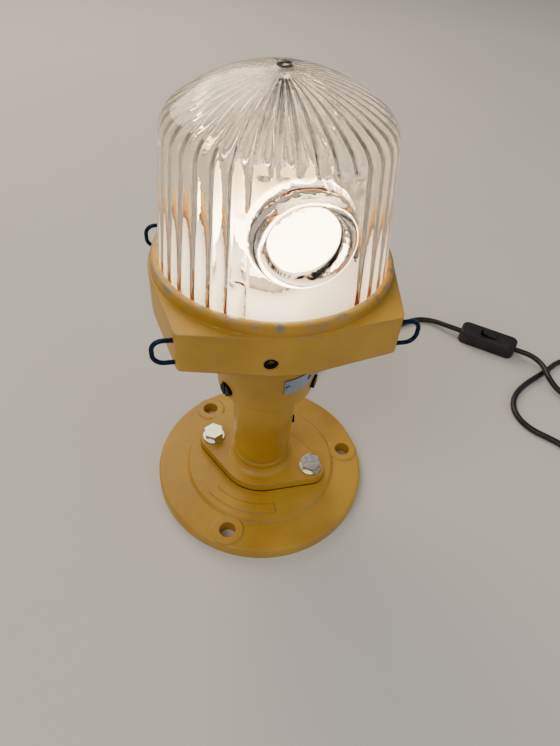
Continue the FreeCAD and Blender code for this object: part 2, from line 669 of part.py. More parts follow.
# ---- glass frame ------------------------------------------------------------------------------
def make_glass_frame():
    prism = four_cornered(FRAME_R, FRAME_CORNER_R, FRAME_H, FRAME_BOTTOM_Z)
    prism = filleted(prism, FRAME_CORNER_FILLET, is_corner)
    bead = RING_BEAD_R * 0.3
    envelope = spun([
        (0, FRAME_BOTTOM_Z),
        (FRAME_CORNER_R + CUT, FRAME_BOTTOM_Z),
        (FRAME_CORNER_R + CUT, ROOF_Z - ROOF_DROP),
        (RING_R, ROOF_Z),
        (RING_R, FRAME_TOP_Z - RING_BEAD_R),
        (RING_R - bead, FRAME_TOP_Z - bead),
        (RING_R - RING_BEAD_R, FRAME_TOP_Z),
        (0, FRAME_TOP_Z),
    ])
    outside = prism.common(envelope)
    inner_r = FRAME_R - FRAME_WALL
    inner_corner = FRAME_CORNER_R * inner_r / FRAME_R
    skirt_top_z = FRAME_BOTTOM_Z + OPEN_SKIRT_H
    skirt = four_cornered(inner_r, inner_corner, OPEN_SKIRT_H + CUT, FRAME_BOTTOM_Z - CUT)
    pocket = four_cornered(inner_r, inner_corner, POCKET_TOP_Z - skirt_top_z, skirt_top_z)
    pocket = pocket.cut(rod(FRAME_BORE_R + BORE_WALL, FRAME_H, V(0, 0, FRAME_BOTTOM_Z)))
    bore = rod(FRAME_BORE_R, LIP_Z - skirt_top_z + CUT, V(0, 0, skirt_top_z - CUT))
    mouth = rod(GLASS_R + LIP_GAP, FRAME_TOP_Z - LIP_Z + 2 * CUT, V(0, 0, LIP_Z - CUT))
    screw_hole = rod(LOCK_SCREW_R, FRAME_R / 2, lock_screw_axis(FRAME_R + CUT), V(0, 1, 0))
    frame = outside.cut([skirt, pocket, bore, mouth, screw_hole])
    holes = []
    for side_x in (-1, 1):
        for side_y in (-1, 1):
            for z in (CLIP_LOW_Z, CLIP_HIGH_Z):
                holes.append(rod(WIRE_R + WIRE_CLEARANCE, CLIP_TIP_X, V(side_x * CLIP_HIGH_END_X,
                             side_y * CLIP_Y, z), V(side_x, 0, 0)))
    return frame.cut(holes)


def lock_screw_axis(distance):
    return V(LOCK_SCREW_X, -distance, FRAME_BOTTOM_Z + LOCK_SCREW_UP)


def make_lock_screw():
    near_x = abs(LOCK_SCREW_X) - LOCK_SCREW_R
    tip_y = math.sqrt(BOWL_R ** 2 - near_x ** 2) + LOCK_SCREW_TIP_GAP
    face_y = math.sqrt(FRAME_R ** 2 - LOCK_SCREW_X ** 2) - LOCK_SCREW_RECESS
    screw = rod(LOCK_SCREW_R, face_y - tip_y, lock_screw_axis(face_y), V(0, 1, 0))
    socket = hexagon(LOCK_SCREW_SOCKET_AF, LOCK_SCREW_SOCKET_H + CUT, V(0, 0, 0))
    socket.rotate(V(0, 0, 0), V(1, 0, 0), -90)
    socket.translate(lock_screw_axis(face_y + CUT))
    return screw.cut(socket)


def make_retainer_ring():
    body = ring(FRAME_BORE_R, RETAINER_IN_R, RETAINER_T, RETAINER_Z)
    notch = box(RETAINER_NOTCH_D + CUT, RETAINER_NOTCH_W, RETAINER_T + 2 * CUT,
                RETAINER_IN_R + (RETAINER_NOTCH_D - CUT) / 2, 0, RETAINER_Z - CUT)
    return body.cut(around(notch, 4, 0))


def make_foot_gasket():
    return ring(FRAME_BORE_R - FOOT_GAP, RETAINER_IN_R + RETAINER_NOTCH_D, FOOT_GASKET_T, FOOT_GASKET_Z)


def make_glass_gasket():
    return ring(FRAME_BORE_R - FOOT_GAP, GLASS_R, GLASS_GASKET_T, FOOT_TOP_Z)


# ---- glass dome -------------------------------------------------------------------------------
def glass_point(radius, height, lean, inset):
    """A point of the dome's section, moved into the glass from a surface that leans back."""
    return V(radius, 0, height) - polar(inset * math.cos(math.radians(lean)), 0,
                                        inset * math.sin(math.radians(lean)))


def dome_section(inset, apex_inset):
    """The edges of half of the dome's section from the frame's top to the apex."""
    wall_foot = V(GLASS_R - inset, 0, FRAME_TOP_Z)
    shoulder = glass_point(GLASS_SHOULDER_R, GLASS_SHOULDER_Z, 0, inset)
    turn = glass_point(GLASS_TURN_R, GLASS_TURN_Z, GLASS_TURN_DEG, inset)
    crown = glass_point(GLASS_CROWN_R, GLASS_CROWN_Z, GLASS_CROWN_DEG, inset)
    apex = V(0, 0, GLASS_TOP_Z - apex_inset)
    crown_mid = V(crown.x / 2, 0, (crown.z + 3 * apex.z) / 4)
    return [
        Part.makeLine(wall_foot, shoulder),
        Part.Arc(shoulder, turn, crown).toShape(),
        Part.Arc(crown, crown_mid, apex).toShape(),
    ]


def make_glass_dome():
    foot_r = FRAME_BORE_R - FOOT_GAP
    in_r = GLASS_R - GLASS_WALL
    edges = dome_section(0, 0) + dome_section(GLASS_WALL, GLASS_CROWN_T)
    edges += [
        Part.makeLine(V(0, 0, GLASS_TOP_Z), V(0, 0, GLASS_TOP_Z - GLASS_CROWN_T)),
        Part.makeLine(V(in_r, 0, FRAME_TOP_Z), V(in_r, 0, FOOT_Z)),
        Part.makeLine(V(in_r, 0, FOOT_Z), V(foot_r, 0, FOOT_Z)),
        Part.makeLine(V(foot_r, 0, FOOT_Z), V(foot_r, 0, FOOT_TOP_Z)),
        Part.makeLine(V(foot_r, 0, FOOT_TOP_Z), V(GLASS_R, 0, FOOT_TOP_Z)),
        Part.makeLine(V(GLASS_R, 0, FOOT_TOP_Z), V(GLASS_R, 0, FRAME_TOP_Z)),
    ]
    outline = Part.Wire(Part.__sortEdges__(edges))
    dome = Part.Face(outline).revolve(V(0, 0, 0), UP, 360)
    nub = rod(GLASS_NUB_R, GLASS_NUB_H + GLASS_WALL / 2, V(0, 0, GLASS_TOP_Z - GLASS_WALL / 2))
    return dome.fuse(nub).removeSplitter()


# ---- wire clips -------------------------------------------------------------------------------
def make_clip(side_x, side_y):
    """A U of wire whose legs run along X. Its upper leg ends in a stop inside the frame's corner."""
    y = side_y * CLIP_Y
    tip_x = CLIP_TIP_X - WIRE_R
    bend_x = tip_x - CLIP_BEND_R
    corner = CLIP_BEND_R * math.sqrt(0.5)
    low_end = V(side_x * CLIP_LOW_END_X, y, CLIP_LOW_Z)
    low_bend = V(side_x * bend_x, y, CLIP_LOW_Z)
    low_mid = V(side_x * (bend_x + corner), y, CLIP_LOW_Z + CLIP_BEND_R - corner)
    low_top = V(side_x * tip_x, y, CLIP_LOW_Z + CLIP_BEND_R)
    high_foot = V(side_x * tip_x, y, CLIP_HIGH_Z - CLIP_BEND_R)
    high_mid = V(side_x * (bend_x + corner), y, CLIP_HIGH_Z - CLIP_BEND_R + corner)
    high_bend = V(side_x * bend_x, y, CLIP_HIGH_Z)
    high_end = V(side_x * CLIP_HIGH_END_X, y, CLIP_HIGH_Z)
    wire = swept([
        Part.LineSegment(low_end, low_bend).toShape(),
        Part.Arc(low_bend, low_mid, low_top).toShape(),
        Part.LineSegment(low_top, high_foot).toShape(),
        Part.Arc(high_foot, high_mid, high_bend).toShape(),
        Part.LineSegment(high_bend, high_end).toShape(),
    ], WIRE_R)
    stop = rod(CLIP_STOP_R, CLIP_STOP_T, high_end, V(side_x, 0, 0))
    return wire.fuse(stop).removeSplitter()


# ---- lamp inside ------------------------------------------------------------------------------
def make_lamp_bracket():
    strip = box(2 * BOWL_IN_R, BRACKET_W, BRACKET_T, 0, 0, STEP_Z)
    strip = strip.common(rod(BOWL_IN_R - BRACKET_GAP, BRACKET_T, V(0, 0, STEP_Z)))
    cuts = [rod(HEAD_LEAD_HOLE_R, BRACKET_T + 2 * CUT, V(0, 0, STEP_Z - CUT))]
    cuts += [rod(BRACKET_SCREW_R, BRACKET_T + 2 * CUT, V(side * STEP_MID_R, 0, STEP_Z - CUT))
             for side in (-1, 1)]
    return strip.cut(cuts)


def make_bracket_screws():
    screws = []
    for side in (-1, 1):
        shank = rod(BRACKET_SCREW_R, BRACKET_T + BRACKET_SCREW_DEPTH,
                    V(side * STEP_MID_R, 0, STEP_Z - BRACKET_SCREW_DEPTH))
        head = Part.makeCone(BRACKET_SCREW_HEAD_R, BRACKET_SCREW_HEAD_R * 0.6, BRACKET_SCREW_HEAD_T,
                             V(side * STEP_MID_R, 0, BRACKET_TOP_Z))
        screws.append(shank.fuse(head).removeSplitter())
    return Part.makeCompound(screws)


def make_reflector():
    disc = ring(REFLECTOR_R, HOLDER_R + REFLECTOR_HOLE_GAP, REFLECTOR_T, REFLECTOR_Z)
    return disc


def make_reflector_pillars():
    pillar = rod(PILLAR_R, PILLAR_H, V(STEP_MID_R, 0, STEP_Z))
    return Part.makeCompound(around(pillar, PILLAR_COUNT, PILLAR_START_DEG))


def make_lampholder():
    body = rod(HOLDER_R, HOLDER_H, V(0, 0, BRACKET_TOP_Z))
    flange = rod(HOLDER_FLANGE_R, HOLDER_FLANGE_T, V(0, 0, BRACKET_TOP_Z))
    cavity = rod(CAP_R + CAP_GAP, HOLDER_CAVITY_H + CUT, V(0, 0, HOLDER_TOP_Z - HOLDER_CAVITY_H))
    entry = rod(CORD_R + HOLDER_LEAD_GAP, HOLDER_H, V(0, 0, BRACKET_TOP_Z - HOLDER_H + lead_entry_h()))
    return body.fuse(flange).removeSplitter().cut([cavity, entry])


def lead_entry_h():
    return (HOLDER_H - HOLDER_CAVITY_H) / 2


def make_bulb_cap():
    low_z = HOLDER_TOP_Z - HOLDER_CAVITY_H
    contact = Part.makeCone(CAP_R * 0.35, CAP_R * 0.75, 3.0, V(0, 0, low_z))
    return rod(CAP_R, CAP_H - 3.0, V(0, 0, low_z + 3.0)).fuse(contact).removeSplitter()


def make_bulb_glass():
    centre_z = HOLDER_TOP_Z + BULB_CENTRE_UP
    neck_z = HOLDER_TOP_Z - HOLDER_CAVITY_H + CAP_H
    join_angle = math.radians(-48)
    join_r = BULB_R * math.cos(join_angle)
    join_z = centre_z + BULB_R * math.sin(join_angle)
    edges = [
        Part.makeLine(V(0, 0, neck_z), V(CAP_R, 0, neck_z)),
        Part.makeLine(V(CAP_R, 0, neck_z), V(BULB_NECK_R, 0, neck_z + 8)),
        Part.makeLine(V(BULB_NECK_R, 0, neck_z + 8), V(join_r, 0, join_z)),
        Part.Arc(V(join_r, 0, join_z), V(BULB_R, 0, centre_z), V(0, 0, centre_z + BULB_R)).toShape(),
        Part.makeLine(V(0, 0, centre_z + BULB_R), V(0, 0, neck_z)),
    ]
    return Part.Face(Part.Wire(edges)).revolve(V(0, 0, 0), UP, 360)


# ---- mains lead -------------------------------------------------------------------------------
def make_lamp_lead():
    """The lead inside the light: in along the base's recess, and up through the stem."""
    inner_start = polar(CORD_START_R, EXIT_DEG, EXIT_Z)
    bend_start = polar(LEAD_BEND_R, EXIT_DEG, EXIT_Z)
    bend_mid = polar(LEAD_BEND_R * (1 - math.sqrt(0.5)), EXIT_DEG,
                     EXIT_Z + LEAD_BEND_R * (1 - math.sqrt(0.5)))
    bend_end = V(0, 0, EXIT_Z + LEAD_BEND_R)
    top = V(0, 0, BRACKET_TOP_Z + lead_entry_h())
    return swept([
        Part.LineSegment(inner_start, bend_start).toShape(),
        Part.Arc(bend_start, bend_mid, bend_end).toShape(),
        Part.LineSegment(bend_end, top).toShape(),
    ], CORD_R)


def make_cord_bush():
    """A rubber bush drawn along X, with a collar against the base's rim and a tapered tail."""
    outline = [
        (0, -BUSH_IN_L),
        (BUSH_R, -BUSH_IN_L),
        (BUSH_R, 0),
        (BUSH_COLLAR_R, 0),
        (BUSH_COLLAR_R, BUSH_COLLAR_T),
        (BUSH_TAIL_R, BUSH_COLLAR_T),
        (BUSH_TIP_R, BUSH_COLLAR_T + BUSH_TAIL_L),
        (0, BUSH_COLLAR_T + BUSH_TAIL_L),
    ]
    bush = spun(outline)
    bush.rotate(V(0, 0, 0), V(0, 1, 0), 90)
    bush = bush.cut(rod(CORD_R, 4 * BUSH_TAIL_L, V(-2 * BUSH_TAIL_L, 0, 0), V(1, 0, 0)))
    bush = bush.cut(box(4 * BUSH_TAIL_L, 4 * BUSH_COLLAR_R, BUSH_COLLAR_R, 0, 0,
                        BUSH_FLOOR_GAP - EXIT_Z - BUSH_COLLAR_R))
    bush.rotate(V(0, 0, 0), UP, EXIT_DEG)
    bush.translate(polar(BASE_R, EXIT_DEG, EXIT_Z))
    return bush


def at_switch(shape):
    shape.rotate(V(0, 0, 0), UP, SWITCH_DEG)
    shape.translate(V(SWITCH_AT[0], SWITCH_AT[1], 0))
    return shape


def switch_half(low_z, high_z):
    half = box(SWITCH_L, SWITCH_W, high_z - low_z, 0, 0, low_z)
    half = filleted(half, SWITCH_CORNER_R, is_upright)
    outer_z = low_z if low_z == 0 else high_z
    return filleted(half, SWITCH_EDGE_R, at_height(outer_z))


def rocker_pin_z():
    return SWITCH_H - ROCKER_PIN_DOWN


def make_switch_base():
    return at_switch(switch_half(0, SWITCH_SPLIT))


def make_switch_cover():
    cover = switch_half(SWITCH_SPLIT, SWITCH_H)
    well_w = ROCKER_W + 2 * ROCKER_SIDE_GAP
    well_floor_z = rocker_pin_z() - ROCKER_BODY_DOWN - ROCKER_WELL_GAP
    well = box(ROCKER_L + 2 * ROCKER_END_GAP, well_w, SWITCH_H - well_floor_z + CUT, 0, 0, well_floor_z)
    pin_l = ROCKER_W + 2 * ROCKER_PIN_OUT + 2 * ROCKER_SIDE_GAP
    pin_hole = rod(ROCKER_PIN_R + ROCKER_PIN_CLEARANCE, pin_l, V(0, -pin_l / 2, rocker_pin_z()),
                   V(0, 1, 0))
    return at_switch(cover.cut([well, pin_hole]))


def make_switch_rocker():
    """The rocker at the end of its travel where the lamp is on."""
    half = ROCKER_L / 2
    outline = [V(-half, 0, ROCKER_END_UP), V(0, 0, ROCKER_MID_UP), V(half, 0, ROCKER_END_UP),
               V(half * 0.85, 0, -ROCKER_BODY_DOWN), V(-half * 0.85, 0, -ROCKER_BODY_DOWN)]
    face = Part.Face(Part.makePolygon(outline + outline[:1]))
    paddle = face.extrude(V(0, ROCKER_W, 0))
    paddle.translate(V(0, -ROCKER_W / 2, 0))
    pin_l = ROCKER_W + 2 * ROCKER_PIN_OUT
    pin = rod(ROCKER_PIN_R, pin_l, V(0, -pin_l / 2, 0), V(0, 1, 0))
    rocker = paddle.fuse(pin).removeSplitter()
    rocker.rotate(V(0, 0, 0), V(0, 1, 0), ROCKER_TILT_DEG)
    rocker.translate(V(0, 0, rocker_pin_z()))
    return at_switch(rocker)


def make_cord_coil():
    coil = ring(COIL_MEAN_R + COIL_HALF_W, COIL_MEAN_R - COIL_HALF_W, COIL_H, 0)
    coil = coil.makeFillet(COIL_EDGE_R, [edge for edge in coil.Edges if len(edge.Vertexes) == 1])
    coil.translate(V(COIL_AT[0], COIL_AT[1], 0))
    return coil


def at_plug(shape):
    """Moves a shape drawn along X from the cord's end to its place on the floor."""
    shape.rotate(V(0, 0, 0), UP, PLUG_DEG)
    shape.translate(V(PLUG_AT[0], PLUG_AT[1], 0))
    return shape


def make_plug_body():
    half = PLUG_W / 2
    neck = PLUG_NECK_W / 2
    corners = [V(0, -neck, 0), V(PLUG_L * 0.45, -neck, 0), V(PLUG_L * 0.75, -half, 0),
               V(PLUG_L, -half, 0), V(PLUG_L, half, 0), V(PLUG_L * 0.75, half, 0),
               V(PLUG_L * 0.45, neck, 0), V(0, neck, 0)]
    body = Part.Face(Part.makePolygon(corners + corners[:1])).extrude(V(0, 0, PLUG_H))
    body = filleted(body, PLUG_EDGE_R, is_upright)
    return at_plug(filleted(body, PLUG_EDGE_R, at_height(PLUG_H)))


def make_plug_pins():
    pins = []
    for side in (-1, 1):
        pin = rod(PIN_R, PIN_L, V(PLUG_L, side * PIN_SPACING / 2, PLUG_H / 2), V(1, 0, 0))
        pins.append(filleted(pin, PIN_R * 0.6, lambda edge: edge.BoundBox.XMin > PLUG_L + CUT
                             and edge.BoundBox.XLength < 1e-6))
    return at_plug(Part.makeCompound(pins))


def save_cord(name, points):
    solid, radii = tube(points, CORD_R)
    report_cord(name, solid, route_length(points, radii), radii)
    save(name, solid)


# ---- write every piece ------------------------------------------------------------------------
os.makedirs("parts", exist_ok=True)
save("base_plate", make_base_plate())
save("flange_gasket", make_flange_gasket())
save("stem", make_stem())
save("stem_screw", make_stem_screw())
save("flange_washers", make_flange_washers())
save("flange_bolts", make_flange_bolts())
save("head_housing", make_head_housing())
save("collar_screws", make_collar_screws())
save("nameplate", make_nameplate())
save("nameplate_rivets", make_nameplate_rivets())
save("bowl_gasket", make_bowl_gasket())
save("glass_frame", make_glass_frame())
save("lock_screw", make_lock_screw())
save("retainer_ring", make_retainer_ring())
save("foot_gasket", make_foot_gasket())
save("glass_gasket", make_glass_gasket())
save("glass_dome", make_glass_dome())
save("clip_front_left", make_clip(-1, -1))
save("clip_front_right", make_clip(1, -1))
save("clip_rear_left", make_clip(-1, 1))
save("clip_rear_right", make_clip(1, 1))
save("lamp_bracket", make_lamp_bracket())
save("bracket_screws", make_bracket_screws())
save("reflector", make_reflector())
save("reflector_pillars", make_reflector_pillars())
save("lampholder", make_lampholder())
save("bulb_cap", make_bulb_cap())
save("bulb_glass", make_bulb_glass())
save("lamp_lead", make_lamp_lead())
save("cord_bush", make_cord_bush())
save("switch_base", make_switch_base())
save("switch_cover", make_switch_cover())
save("switch_rocker", make_switch_rocker())
save("cord_coil", make_cord_coil())
save("plug_body", make_plug_body())
save("plug_pins", make_plug_pins())
save_cord("cord_to_switch", CORD_TO_SWITCH)
save_cord("cord_from_switch", CORD_FROM_SWITCH)
save_cord("cord_to_plug", CORD_TO_PLUG)
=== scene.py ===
import math

import bmesh
import bpy
from mathutils import Matrix, Vector


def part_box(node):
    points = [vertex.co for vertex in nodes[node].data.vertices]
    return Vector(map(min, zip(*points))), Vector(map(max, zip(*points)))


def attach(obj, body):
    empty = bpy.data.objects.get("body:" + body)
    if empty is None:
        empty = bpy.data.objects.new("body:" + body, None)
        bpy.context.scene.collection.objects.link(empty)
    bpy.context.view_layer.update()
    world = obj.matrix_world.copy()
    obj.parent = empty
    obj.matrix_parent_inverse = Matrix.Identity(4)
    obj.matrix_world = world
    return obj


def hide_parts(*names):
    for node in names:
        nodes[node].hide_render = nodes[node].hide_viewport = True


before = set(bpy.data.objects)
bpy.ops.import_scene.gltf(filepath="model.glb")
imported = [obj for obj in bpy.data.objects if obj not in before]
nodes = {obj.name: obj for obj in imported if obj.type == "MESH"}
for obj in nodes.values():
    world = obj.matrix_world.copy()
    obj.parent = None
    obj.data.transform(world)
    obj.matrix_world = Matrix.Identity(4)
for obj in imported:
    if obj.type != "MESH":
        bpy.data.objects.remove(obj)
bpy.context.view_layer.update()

# An elevated airfield edge light used as a lit table lamp. Lengths are in metres, in the frame's
# own axes: +Z up, -Y the front, and the origin under the middle of the base plate.

MM = 0.001


# ---- small helpers ----------------------------------------------------------------------------
def linear(code):
    """An sRGB hex colour as linear RGBA."""
    channels = [int(code[i:i + 2], 16) / 255 for i in (1, 3, 5)]
    values = [c / 12.92 if c <= 0.04045 else ((c + 0.055) / 1.055) ** 2.4 for c in channels]
    return (*values, 1.0)


def add(tree, kind, inputs=None, **settings):
    """Adds a shader node with its settings, and feeds its inputs."""
    node = tree.nodes.new(kind)
    for name, value in settings.items():
        setattr(node, name, value)
    return feed(tree, node, inputs or {})


def feed(tree, node, inputs):
    """Sets a node's inputs, by name or place, to a value, a socket or a node's first output."""
    shown = [socket for socket in node.inputs if socket.enabled]
    for key, value in inputs.items():
        socket = shown[key] if isinstance(key, int) else next(s for s in shown if s.name == key)
        if isinstance(value, bpy.types.Node):
            value = next(output for output in value.outputs if output.enabled)
        if isinstance(value, bpy.types.NodeSocket):
            tree.links.new(value, socket)
        else:
            socket.default_value = value
    return node


def new_material(name):
    """A material with one Principled shader. Returns it, its tree, its shader and Object coordinates."""
    material = bpy.data.materials.new(name)
    material.use_nodes = True
    tree = material.node_tree
    point = add(tree, "ShaderNodeTexCoord").outputs["Object"]
    return material, tree, tree.nodes["Principled BSDF"], point


def new_piece(name, mesh_data, material, body):
    """Puts a finished mesh or curve in the scene, riding on a body."""
    piece = bpy.data.objects.new(name, mesh_data)
    bpy.context.scene.collection.objects.link(piece)
    mesh_data.materials.append(material)
    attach(piece, body)
    return piece


def mesh_from(bm, name):
    """Turns what is in bm into a smooth-shaded mesh, and frees bm."""
    mesh = bpy.data.meshes.new(name)
    for face in bm.faces:
        face.smooth = True
    bm.to_mesh(mesh)
    bm.free()
    return mesh


def chain(bm, outline):
    """Vertices joined in a line, from (radius, height) pairs in metres."""
    vertices = [bm.verts.new((r, 0, z)) for r, z in outline]
    for first, second in zip(vertices, vertices[1:]):
        bm.edges.new((first, second))
    return vertices


def spin_full(bm, steps):
    """Turns what is in bm into a closed surface of revolution about Z, facing outwards."""
    bmesh.ops.spin(bm, geom=bm.verts[:] + bm.edges[:], cent=(0, 0, 0), axis=(0, 0, 1),
                   angle=2 * math.pi, steps=steps, use_merge=True)
    bmesh.ops.remove_doubles(bm, verts=bm.verts[:], dist=1e-6)
    bmesh.ops.dissolve_degenerate(bm, edges=bm.edges[:], dist=1e-7)
    bmesh.ops.recalc_face_normals(bm, faces=bm.faces[:])


def smoothstep(low, high, value):
    t = min(max((value - low) / (high - low), 0.0), 1.0)
    return t * t * (3 - 2 * t)


# ---- camera, floor and light ------------------------------------------------------------------
def make_camera():
    camera = bpy.data.cameras.new("camera")
    camera.sensor_width = 36.0
    camera.lens = 27.0
    camera.clip_start = 0.01
    camera.clip_end = 20.0
    holder = bpy.data.objects.new("camera", camera)
    yaw, pitch, roll = (math.radians(angle) for angle in (14.27, 44.47, 4.85))
    turn = (Matrix.Rotation(-yaw, 4, "Z") @ Matrix.Rotation(math.pi / 2 - pitch, 4, "X")
            @ Matrix.Rotation(roll, 4, "Z"))
    holder.matrix_world = Matrix.Translation((-0.0683, -0.3151, 0.4441)) @ turn
    bpy.context.scene.collection.objects.link(holder)
    bpy.context.scene.camera = holder


def make_floor():
    """A pale matt floor, which only the surface that the light stands on needs."""
    material, tree, shader, point = new_material("floor_pale_matt")
    cloud = add(tree, "ShaderNodeTexNoise", {"Vector": point, "Scale": 3.0, "Detail": 2.0})
    tone = add(tree, "ShaderNodeMix", {"Factor": cloud, "A": linear("#D6D3CF"), "B": linear("#DEDBD7")},
               data_type="RGBA")
    feed(tree, shader, {"Base Color": tone, "Roughness": 0.75})
    bm = bmesh.new()
    bmesh.ops.create_grid(bm, x_segments=1, y_segments=1, size=6.0)
    mesh = mesh_from(bm, "floor")
    mesh.materials.append(material)
    floor = bpy.data.objects.new("floor", mesh)
    bpy.context.scene.collection.objects.link(floor)


def make_area_light(name, place, target, size, power, colour):
    light = bpy.data.lights.new(name, "AREA")
    light.shape = "DISK"
    light.size = size
    light.energy = power
    light.color = linear(colour)[:3]
    holder = bpy.data.objects.new(name, light)
    holder.location = place
    holder.rotation_euler = (Vector(target) - Vector(place)).to_track_quat("-Z", "Y").to_euler()
    bpy.context.scene.collection.objects.link(holder)


def make_studio():
    middle = (0.05, 0.0, 0.15)
    make_area_light("key", (-1.1, -0.9, 1.7), middle, 1.4, 15.0, "#FFF8EE")
    make_area_light("fill", (1.5, -1.0, 1.2), middle, 1.6, 5.0, "#F2F6FF")
    make_area_light("back", (-0.5, 1.7, 1.5), middle, 1.8, 26.0, "#FFEBCB")
    world = bpy.data.worlds.new("studio")
    world.use_nodes = True
    feed(world.node_tree, world.node_tree.nodes["Background"],
         {"Color": linear("#E6E4E2"), "Strength": 0.42})
    bpy.context.scene.world = world


# ---- materials --------------------------------------------------------------------------------
def yellow_enamel(name, ring_wear):
    """Brushed-on satin enamel over cast aluminium, rubbed through to the metal on its edges."""
    material, tree, shader, point = new_material(name)
    patches = add(tree, "ShaderNodeTexNoise", {"Vector": point, "Scale": 1 / (55 * MM), "Detail": 4.0})
    speckle = add(tree, "ShaderNodeTexNoise", {"Vector": point, "Scale": 1 / (2.5 * MM), "Detail": 5.0,
                                               "Roughness": 0.65})
    paint = add(tree, "ShaderNodeMix", {
        "Factor": add(tree, "ShaderNodeMapRange", {"Value": patches, 1: 0.35, 2: 0.65}),
        "A": linear("#AC8220"), "B": linear("#C3982F")}, data_type="RGBA")
    dusty = add(tree, "ShaderNodeMix", {
        "Factor": add(tree, "ShaderNodeMapRange", {"Value": speckle, 1: 0.62, 2: 0.78, 4: 0.35}),
        "A": paint, "B": linear("#6B5020")}, data_type="RGBA")
    # Edges are where the true normal and the rounded one part.
    rounded = add(tree, "ShaderNodeBevel", {"Radius": 1.6 * MM}, samples=6)
    true_normal = add(tree, "ShaderNodeNewGeometry").outputs["True Normal"]
    likeness = add(tree, "ShaderNodeVectorMath", {0: rounded, 1: true_normal}, operation="DOT_PRODUCT")
    edge = add(tree, "ShaderNodeMapRange", {"Value": likeness.outputs["Value"], 1: 0.985, 2: 0.86})
    chips = add(tree, "ShaderNodeTexNoise", {"Vector": point, "Scale": 1 / (6 * MM), "Detail": 6.0,
                                             "Roughness": 0.7})
    rubbed = add(tree, "ShaderNodeMath", {0: edge, 1: add(tree, "ShaderNodeMapRange", {
        "Value": chips, 1: 0.47, 2: 0.56})}, operation="MULTIPLY")
    if ring_wear:
        height = add(tree, "ShaderNodeSeparateXYZ", {"Vector": point}).outputs["Z"]
        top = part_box("glass_frame")[1][2]
        streaks = add(tree, "ShaderNodeTexNoise", {"Vector": add(tree, "ShaderNodeMapping", {
            "Vector": point, "Scale": (1.0, 1.0, 0.25)}), "Scale": 1 / (7 * MM), "Detail": 6.0,
            "Roughness": 0.7})
        near_top = add(tree, "ShaderNodeMapRange", {"Value": height, 1: top - 7 * MM, 2: top - 0.5 * MM})
        streaky = add(tree, "ShaderNodeMath", {0: near_top, 1: add(tree, "ShaderNodeMapRange", {
            "Value": streaks, 1: 0.5, 2: 0.62})}, operation="MULTIPLY")
        rubbed = add(tree, "ShaderNodeMath", {0: rubbed, 1: streaky}, operation="MAXIMUM")
    colour = add(tree, "ShaderNodeMix", {"Factor": rubbed, "A": dusty, "B": linear("#8E8A80")},
                 data_type="RGBA")
    gloss = add(tree, "ShaderNodeMapRange", {"Value": patches, 1: 0.3, 2: 0.7, 3: 0.34, 4: 0.5})
    grain = add(tree, "ShaderNodeTexNoise", {"Vector": point, "Scale": 1 / (1.4 * MM), "Detail": 3.0})
    cast = add(tree, "ShaderNodeTexNoise", {"Vector": point, "Scale": 1 / (9 * MM), "Detail": 2.0})
    skin = add(tree, "ShaderNodeBump", {"Height": grain, "Distance": 0.10 * MM, "Strength": 0.6,
                                        "Normal": rounded})
    skin = add(tree, "ShaderNodeBump", {"Height": cast, "Distance": 0.5 * MM, "Strength": 0.6,
                                        "Normal": skin})
    skin = add(tree, "ShaderNodeBump", {"Height": rubbed, "Distance": 0.08 * MM, "Strength": 0.8,
                                        "Normal": skin}, invert=True)
    feed(tree, shader, {"Base Color": colour, "Roughness": gloss, "Normal": skin,
                        "Metallic": add(tree, "ShaderNodeMath", {0: rubbed, 1: 0.8}, operation="MULTIPLY")})
    return material


def bright_zinc():
    """Zinc-plated steel: a mirror-like grey-white skin with fine draw lines and faint clouding."""
    material, tree, shader, point = new_material("zinc_plated_steel")
    cloud = add(tree, "ShaderNodeTexNoise", {"Vector": point, "Scale": 1 / (3 * MM), "Detail": 4.0})
    tone = add(tree, "ShaderNodeMix", {"Factor": cloud, "A": linear("#B9BDBE"), "B": linear("#E2E4E0")},
               data_type="RGBA")
    rounded = add(tree, "ShaderNodeBevel", {"Radius": 0.5 * MM}, samples=6)
    skin = add(tree, "ShaderNodeBump", {"Height": cloud, "Distance": 0.03 * MM, "Normal": rounded})
    feed(tree, shader, {"Base Color": tone, "Metallic": 1.0, "Normal": skin, "Roughness": add(
        tree, "ShaderNodeMapRange", {"Value": cloud, 1: 0.3, 2: 0.7, 3: 0.16, 4: 0.32})})
    return material


def plain_metal(name, dark, light, smooth_roughness, rough_roughness, grain_mm):
    """A bare or blacked metal whose tone and gloss drift over a grain of a given size."""
    material, tree, shader, point = new_material(name)
    cloud = add(tree, "ShaderNodeTexNoise", {"Vector": point, "Scale": 1 / (grain_mm * MM),
                                             "Detail": 5.0, "Roughness": 0.6})
    tone = add(tree, "ShaderNodeMix", {"Factor": cloud, "A": linear(dark), "B": linear(light)},
               data_type="RGBA")
    rounded = add(tree, "ShaderNodeBevel", {"Radius": 0.4 * MM}, samples=6)
    skin = add(tree, "ShaderNodeBump", {"Height": cloud, "Distance": 0.03 * MM, "Normal": rounded})
    feed(tree, shader, {"Base Color": tone, "Metallic": 1.0, "Normal": skin, "Roughness": add(
        tree, "ShaderNodeMapRange", {"Value": cloud, 1: 0.3, 2: 0.7, 3: smooth_roughness,
                                     4: rough_roughness})})
    return material


